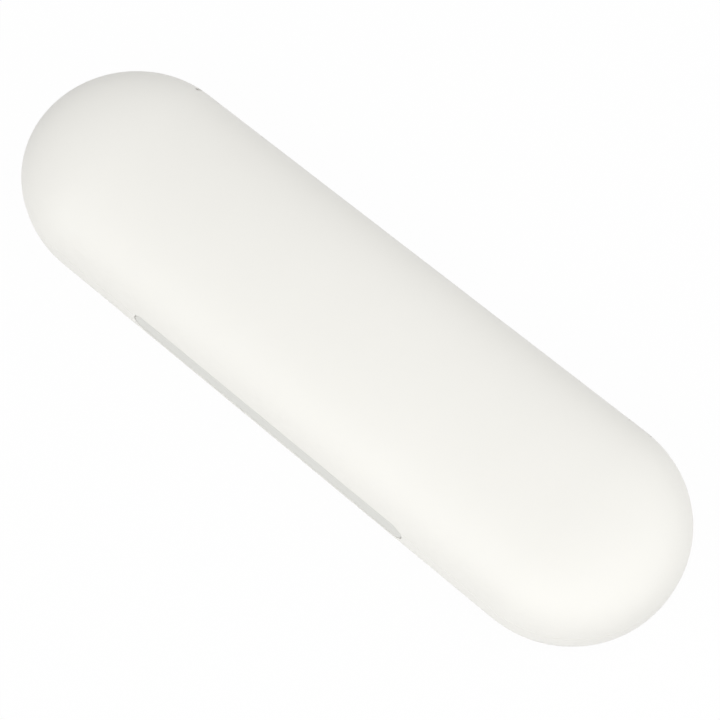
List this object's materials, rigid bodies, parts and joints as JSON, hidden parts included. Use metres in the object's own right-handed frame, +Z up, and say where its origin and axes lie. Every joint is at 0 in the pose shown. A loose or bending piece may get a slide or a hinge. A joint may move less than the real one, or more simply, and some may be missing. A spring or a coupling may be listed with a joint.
{
  "type": "electric toothbrush travel case",
  "caption": "Pill-shaped hinged travel case for an electric toothbrush, with a moulded tray inside and a long press-to-open release bar in the front edge.",
  "frame": {"origin": "centre of the flat underside, on the surface that the case rests on", "axes": "+X along the case's length towards the handle's neck end, -Y towards the release bar, +Y towards the hinge, +Z up through the lid"},
  "size_m": [0.24, 0.069, 0.037],
  "materials": {
    "shell_plastic": "satin off-white ABS",
    "bar_plastic": "satin light grey ABS",
    "slide_plastic": "natural acetal",
    "tray_plastic": "matte off-white moulding",
    "liner_plastic": "matte off-white moulding",
    "pad_rubber": "soft grey elastomer",
    "pin_steel": "drawn steel",
    "spring_steel": "spring wire",
    "screw_steel": "zinc-plated steel"
  },
  "bodies": {
    "base": {"base_shell": "shell_plastic", "base_tray": "tray_plastic", "tray_screws": "screw_steel", "handle_pad_tail": "pad_rubber", "handle_pad_neck": "pad_rubber", "hinge_pin_left": "pin_steel", "hinge_pin_right": "pin_steel", "latch_spring_left": "spring_steel", "latch_spring_right": "spring_steel"},
    "lid": {"lid_shell": "shell_plastic", "lid_liner": "liner_plastic"},
    "release": {"release_bar": "bar_plastic", "latch_slide": "slide_plastic"}
  },
  "joints": [
    {"name": "lid_hinge", "type": "hinge", "parent": "base", "child": "lid", "pos_m": [0, 0.0312, 0.02325], "axis": [-1, 0, 0], "range_deg": [0, 115]},
    {"name": "release_bar_press", "type": "slide", "parent": "base", "child": "release", "axis": [0, 1, 0], "range_m": [0, 0.0015], "stiffness_N_per_m": 600, "springref_m": -0.004, "deforming": ["latch_spring_left", "latch_spring_right"]}
  ]
}
